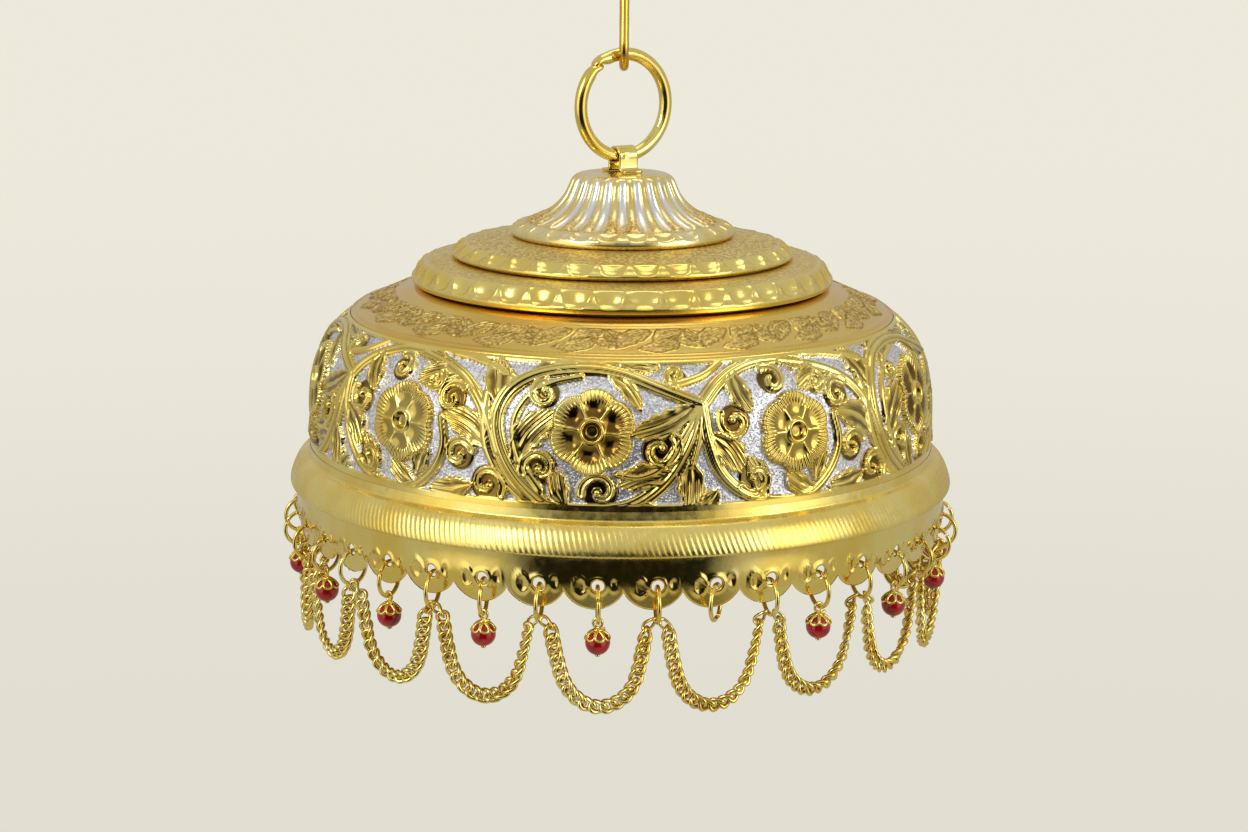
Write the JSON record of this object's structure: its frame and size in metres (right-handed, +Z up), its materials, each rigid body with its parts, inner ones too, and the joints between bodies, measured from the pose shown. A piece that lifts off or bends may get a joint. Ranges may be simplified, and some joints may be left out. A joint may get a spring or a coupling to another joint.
{
  "type": "hanging temple canopy",
  "caption": "Stamped metal ceremonial canopy that hangs over a shrine figure from a ring and hook, with a swinging fringe of bead drops and chain swags.",
  "frame": {"origin": "the inside top of the hook's upper bend, the point the whole canopy hangs from", "axes": "+Z up along the hanging line, -Y to the front, +X to the front's right"},
  "size_m": [0.1308, 0.1306, 0.1512],
  "materials": {
    "hook_wire": "plated wire, bright",
    "ring_wire": "plated wire, polished",
    "strap_metal": "plated strip, bright",
    "fluted_two_tone": "gold flutes with silver stripes, polished",
    "satin_gold": "fine sand-textured gold plate",
    "embossed_two_tone": "embossed, polished gold relief on a stippled silver ground",
    "polished_gold": "mirror gold plate",
    "findings": "plated wire, bright",
    "bead_glass": "dark red glass bead under a gold wire cap",
    "chain": "plated twisted curb chain, bright"
  },
  "bodies": {
    "hook": {"hanging_hook": "hook_wire"},
    "ring": {"suspension_ring": "ring_wire"},
    "canopy": {"ring_strap": "strap_metal", "finial_shell": "fluted_two_tone", "tier_small": "satin_gold", "tier_large": "satin_gold", "dome_shell": "embossed_two_tone", "rim_skirt": "polished_gold", "chain_jump_rings": "findings"},
    "loose_ring": {"empty_jump_ring": "findings"},
    "bead_01": {"bead_drop_01": "bead_glass"},
    "bead_02": {"bead_drop_02": "bead_glass"},
    "bead_03": {"bead_drop_03": "bead_glass"},
    "bead_04": {"bead_drop_04": "bead_glass"},
    "bead_05": {"bead_drop_05": "bead_glass"},
    "bead_06": {"bead_drop_06": "bead_glass"},
    "bead_07": {"bead_drop_07": "bead_glass"},
    "bead_08": {"bead_drop_08": "bead_glass"},
    "bead_09": {"bead_drop_09": "bead_glass"},
    "bead_10": {"bead_drop_10": "bead_glass"},
    "bead_11": {"bead_drop_11": "bead_glass"},
    "bead_12": {"bead_drop_12": "bead_glass"},
    "bead_13": {"bead_drop_13": "bead_glass"},
    "bead_14": {"bead_drop_14": "bead_glass"},
    "bead_15": {"bead_drop_15": "bead_glass"},
    "bead_16": {"bead_drop_16": "bead_glass"},
    "bead_17": {"bead_drop_17": "bead_glass"},
    "bead_18": {"bead_drop_18": "bead_glass"},
    "swag_01": {"chain_swag_01": "chain"},
    "swag_02": {"chain_swag_02": "chain"},
    "swag_03": {"chain_swag_03": "chain"},
    "swag_04": {"chain_swag_04": "chain"},
    "swag_05": {"chain_swag_05": "chain"},
    "swag_06": {"chain_swag_06": "chain"},
    "swag_07": {"chain_swag_07": "chain"},
    "swag_08": {"chain_swag_08": "chain"},
    "swag_09": {"chain_swag_09": "chain"},
    "swag_10": {"chain_swag_10": "chain"},
    "swag_11": {"chain_swag_11": "chain"},
    "swag_12": {"chain_swag_12": "chain"},
    "swag_13": {"chain_swag_13": "chain"},
    "swag_14": {"chain_swag_14": "chain"},
    "swag_15": {"chain_swag_15": "chain"},
    "swag_16": {"chain_swag_16": "chain"},
    "swag_17": {"chain_swag_17": "chain"},
    "swag_18": {"chain_swag_18": "chain"},
    "swag_19": {"chain_swag_19": "chain"}
  },
  "joints": [
    {"name": "ring_sway", "type": "hinge", "parent": "hook", "child": "ring", "pos_m": [0, 0, -0.043], "axis": [-0.5592, 0.829, 0], "range_deg": [-18, 18]},
    {"name": "canopy_rock", "type": "hinge", "parent": "ring", "child": "canopy", "pos_m": [0, 0, -0.05985], "axis": [0.829, 0.5592, 0], "range_deg": [-45, 45]},
    {"name": "loose_ring_swing", "type": "hinge", "parent": "canopy", "child": "loose_ring", "pos_m": [0.01659, -0.05962, -0.12679], "axis": [0.9634, 0.268, 0], "range_deg": [-25, 30]},
    {"name": "bead_swing_01", "type": "hinge", "parent": "canopy", "child": "bead_01", "pos_m": [-0.00367, -0.06178, -0.12679], "axis": [0.9982, -0.0593, 0], "range_deg": [-25, 30]},
    {"name": "bead_swing_02", "type": "hinge", "parent": "canopy", "child": "bead_02", "pos_m": [0.03505, -0.05101, -0.12679], "axis": [0.8242, 0.5663, 0], "range_deg": [-25, 30]},
    {"name": "bead_swing_03", "type": "hinge", "parent": "canopy", "child": "bead_03", "pos_m": [0.04971, -0.03686, -0.12679], "axis": [0.5956, 0.8033, 0], "range_deg": [-25, 30]},
    {"name": "bead_swing_04", "type": "hinge", "parent": "canopy", "child": "bead_04", "pos_m": [0.05899, -0.01872, -0.12679], "axis": [0.3025, 0.9531, 0], "range_deg": [-25, 30]},
    {"name": "bead_swing_05", "type": "hinge", "parent": "canopy", "child": "bead_05", "pos_m": [0.06187, 0.00144, -0.12679], "axis": [-0.0233, 0.9997, 0], "range_deg": [-25, 30]},
    {"name": "bead_swing_06", "type": "hinge", "parent": "canopy", "child": "bead_06", "pos_m": [0.05805, 0.02145, -0.12679], "axis": [-0.3467, 0.938, 0], "range_deg": [-25, 30]},
    {"name": "bead_swing_07", "type": "hinge", "parent": "canopy", "child": "bead_07", "pos_m": [0.04794, 0.03914, -0.12679], "axis": [-0.6325, 0.7746, 0], "range_deg": [-25, 30]},
    {"name": "bead_swing_08", "type": "hinge", "parent": "canopy", "child": "bead_08", "pos_m": [0.03263, 0.05259, -0.12679], "axis": [-0.8497, 0.5273, 0], "range_deg": [-25, 30]},
    {"name": "bead_swing_09", "type": "hinge", "parent": "canopy", "child": "bead_09", "pos_m": [0.01379, 0.06033, -0.12679], "axis": [-0.9749, 0.2228, 0], "range_deg": [-25, 30]},
    {"name": "bead_swing_10", "type": "hinge", "parent": "canopy", "child": "bead_10", "pos_m": [-0.00655, 0.06154, -0.12679], "axis": [-0.9944, -0.1058, 0], "range_deg": [-25, 30]},
    {"name": "bead_swing_11", "type": "hinge", "parent": "canopy", "child": "bead_11", "pos_m": [-0.02618, 0.05608, -0.12679], "axis": [-0.9062, -0.423, 0], "range_deg": [-25, 30]},
    {"name": "bead_swing_12", "type": "hinge", "parent": "canopy", "child": "bead_12", "pos_m": [-0.04297, 0.04454, -0.12679], "axis": [-0.7197, -0.6943, 0], "range_deg": [-25, 30]},
    {"name": "bead_swing_13", "type": "hinge", "parent": "canopy", "child": "bead_13", "pos_m": [-0.0551, 0.02818, -0.12679], "axis": [-0.4553, -0.8903, 0], "range_deg": [-25, 30]},
    {"name": "bead_swing_14", "type": "hinge", "parent": "canopy", "child": "bead_14", "pos_m": [-0.06127, 0.00876, -0.12679], "axis": [-0.1415, -0.9899, 0], "range_deg": [-25, 30]},
    {"name": "bead_swing_15", "type": "hinge", "parent": "canopy", "child": "bead_15", "pos_m": [-0.06079, -0.01161, -0.12679], "axis": [0.1876, -0.9823, 0], "range_deg": [-25, 30]},
    {"name": "bead_swing_16", "type": "hinge", "parent": "canopy", "child": "bead_16", "pos_m": [-0.05373, -0.03072, -0.12679], "axis": [0.4963, -0.8681, 0], "range_deg": [-25, 30]},
    {"name": "bead_swing_17", "type": "hinge", "parent": "canopy", "child": "bead_17", "pos_m": [-0.04084, -0.0465, -0.12679], "axis": [0.7513, -0.6599, 0], "range_deg": [-25, 30]},
    {"name": "bead_swing_18", "type": "hinge", "parent": "canopy", "child": "bead_18", "pos_m": [-0.02353, -0.05724, -0.12679], "axis": [0.9249, -0.3802, 0], "range_deg": [-25, 30]},
    {"name": "swag_swing_01", "type": "hinge", "parent": "canopy", "child": "swag_01", "pos_m": [-0.00362, -0.06094, -0.133], "axis": [0.9982, -0.0593, 0], "range_deg": [-45, 30]},
    {"name": "swag_swing_02", "type": "hinge", "parent": "canopy", "child": "swag_02", "pos_m": [0.01636, -0.05881, -0.133], "axis": [0.9634, 0.268, 0], "range_deg": [-45, 30]},
    {"name": "swag_swing_03", "type": "hinge", "parent": "canopy", "child": "swag_03", "pos_m": [0.03457, -0.05031, -0.133], "axis": [0.8242, 0.5663, 0], "range_deg": [-45, 30]},
    {"name": "swag_swing_04", "type": "hinge", "parent": "canopy", "child": "swag_04", "pos_m": [0.04903, -0.03636, -0.133], "axis": [0.5956, 0.8033, 0], "range_deg": [-45, 30]},
    {"name": "swag_swing_05", "type": "hinge", "parent": "canopy", "child": "swag_05", "pos_m": [0.05818, -0.01847, -0.133], "axis": [0.3025, 0.9531, 0], "range_deg": [-45, 30]},
    {"name": "swag_swing_06", "type": "hinge", "parent": "canopy", "child": "swag_06", "pos_m": [0.06103, 0.00142, -0.133], "axis": [-0.0233, 0.9997, 0], "range_deg": [-45, 30]},
    {"name": "swag_swing_07", "type": "hinge", "parent": "canopy", "child": "swag_07", "pos_m": [0.05726, 0.02116, -0.133], "axis": [-0.3467, 0.938, 0], "range_deg": [-45, 30]},
    {"name": "swag_swing_08", "type": "hinge", "parent": "canopy", "child": "swag_08", "pos_m": [0.04729, 0.03861, -0.133], "axis": [-0.6325, 0.7746, 0], "range_deg": [-45, 30]},
    {"name": "swag_swing_09", "type": "hinge", "parent": "canopy", "child": "swag_09", "pos_m": [0.03219, 0.05187, -0.133], "axis": [-0.8497, 0.5273, 0], "range_deg": [-45, 30]},
    {"name": "swag_swing_10", "type": "hinge", "parent": "canopy", "child": "swag_10", "pos_m": [0.0136, 0.05951, -0.133], "axis": [-0.9749, 0.2228, 0], "range_deg": [-45, 30]},
    {"name": "swag_swing_11", "type": "hinge", "parent": "canopy", "child": "swag_11", "pos_m": [-0.00646, 0.0607, -0.133], "axis": [-0.9944, -0.1058, 0], "range_deg": [-45, 30]},
    {"name": "swag_swing_12", "type": "hinge", "parent": "canopy", "child": "swag_12", "pos_m": [-0.02582, 0.05532, -0.133], "axis": [-0.9062, -0.423, 0], "range_deg": [-45, 30]},
    {"name": "swag_swing_13", "type": "hinge", "parent": "canopy", "child": "swag_13", "pos_m": [-0.04238, 0.04394, -0.133], "axis": [-0.7197, -0.6943, 0], "range_deg": [-45, 30]},
    {"name": "swag_swing_14", "type": "hinge", "parent": "canopy", "child": "swag_14", "pos_m": [-0.05435, 0.02779, -0.133], "axis": [-0.4553, -0.8903, 0], "range_deg": [-45, 30]},
    {"name": "swag_swing_15", "type": "hinge", "parent": "canopy", "child": "swag_15", "pos_m": [-0.06043, 0.00864, -0.133], "axis": [-0.1415, -0.9899, 0], "range_deg": [-45, 30]},
    {"name": "swag_swing_16", "type": "hinge", "parent": "canopy", "child": "swag_16", "pos_m": [-0.05996, -0.01145, -0.133], "axis": [0.1876, -0.9823, 0], "range_deg": [-45, 30]},
    {"name": "swag_swing_17", "type": "hinge", "parent": "canopy", "child": "swag_17", "pos_m": [-0.05299, -0.0303, -0.133], "axis": [0.4963, -0.8681, 0], "range_deg": [-45, 30]},
    {"name": "swag_swing_18", "type": "hinge", "parent": "canopy", "child": "swag_18", "pos_m": [-0.04029, -0.04586, -0.133], "axis": [0.7513, -0.6599, 0], "range_deg": [-45, 30]},
    {"name": "swag_swing_19", "type": "hinge", "parent": "canopy", "child": "swag_19", "pos_m": [-0.02321, -0.05646, -0.133], "axis": [0.9249, -0.3802, 0], "range_deg": [-45, 30]}
  ]
}
